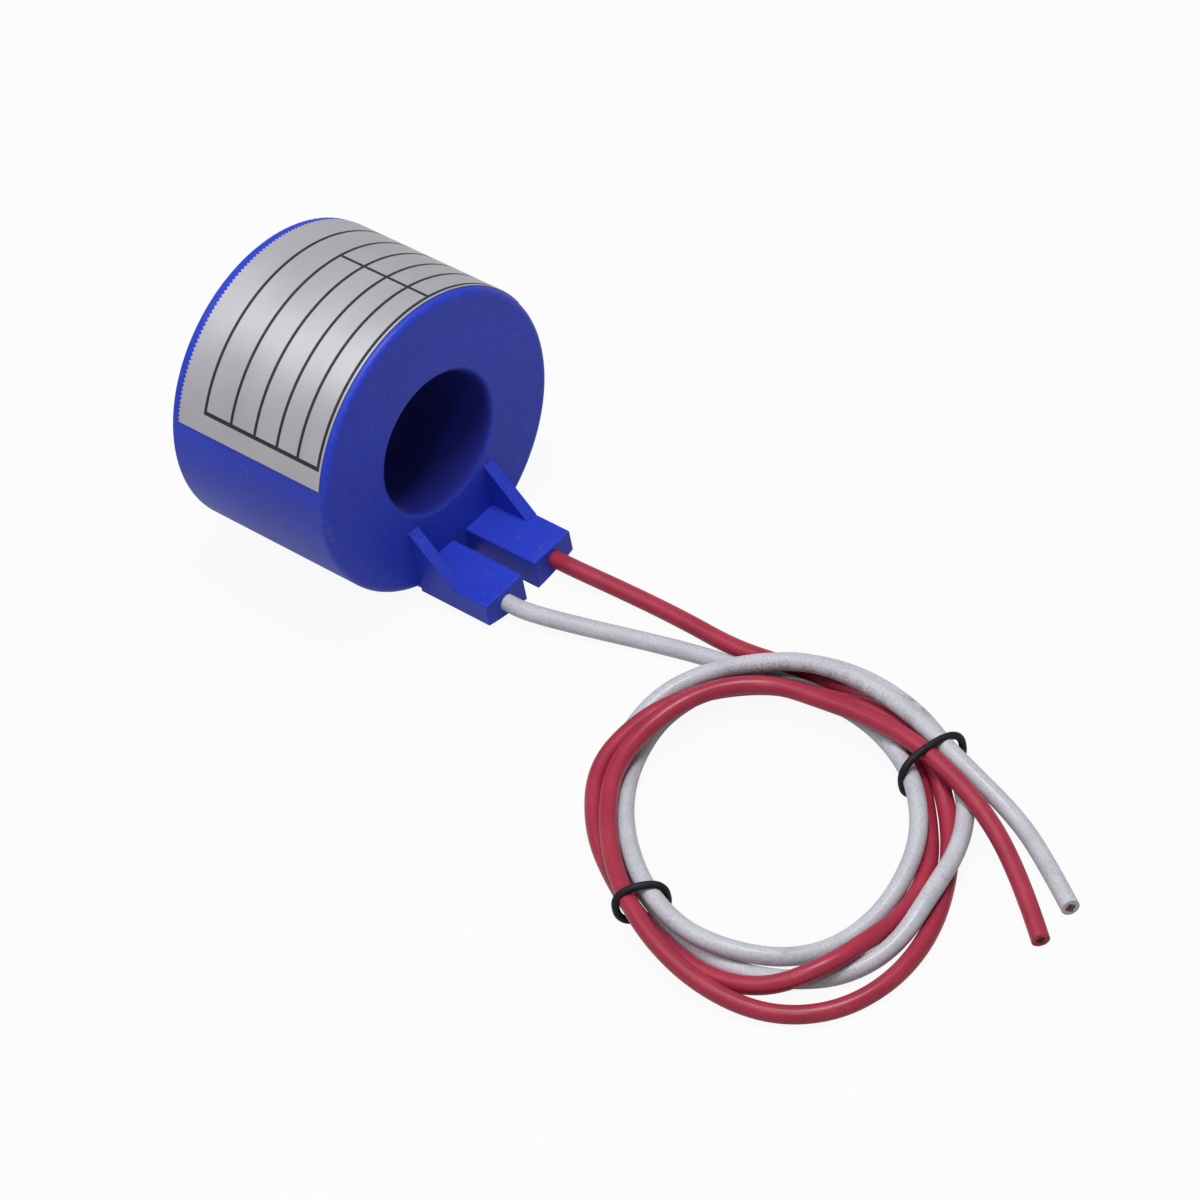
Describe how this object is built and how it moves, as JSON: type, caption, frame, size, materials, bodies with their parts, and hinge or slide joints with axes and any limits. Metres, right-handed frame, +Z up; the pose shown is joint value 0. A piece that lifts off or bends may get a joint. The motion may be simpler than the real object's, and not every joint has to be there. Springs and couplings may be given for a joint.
{
  "type": "current transformer",
  "caption": "Ring-type current transformer: round moulded blue housing with a through bore for the primary conductor, lead blocks, foil label and insulated leads in a tied coil.",
  "frame": {"origin": "on the axis of the primary bore, half way along the housing", "axes": "+Y along the bore from the front face, which has the lead blocks, to the potted back; +Z up, away from the lead blocks"},
  "size_m": [0.1009, 0.2129, 0.0682],
  "materials": {
    "housing_plastic": "moulded blue plastic, satin gloss",
    "potting_resin": "cast dark blue resin",
    "label_foil": "silver film with a black ruled table",
    "core_steel": "wound silicon steel strip",
    "insulating_tape": "polyester tape",
    "winding_copper": "enamelled copper wire",
    "splice_metal": "tinned crimp sleeve",
    "white_sleeve": "soft white sleeve, slightly soiled",
    "red_sleeve": "soft red sleeve",
    "coiled_leads": "white and red sleeves side by side",
    "tie_rubber": "black rubber"
  },
  "bodies": {
    "root": {"housing": "housing_plastic", "potting_resin": "potting_resin", "label": "label_foil", "core": "core_steel", "core_wrap": "insulating_tape", "secondary_winding": "winding_copper", "winding_tape": "insulating_tape", "splice_white": "splice_metal", "splice_red": "splice_metal", "white_lead_run": "white_sleeve", "white_lead_tail": "white_sleeve", "red_lead_run": "red_sleeve", "red_lead_tail": "red_sleeve", "lead_coil": "coiled_leads", "tie_near_tails": "tie_rubber", "tie_far": "tie_rubber"}
  },
  "joints": []
}
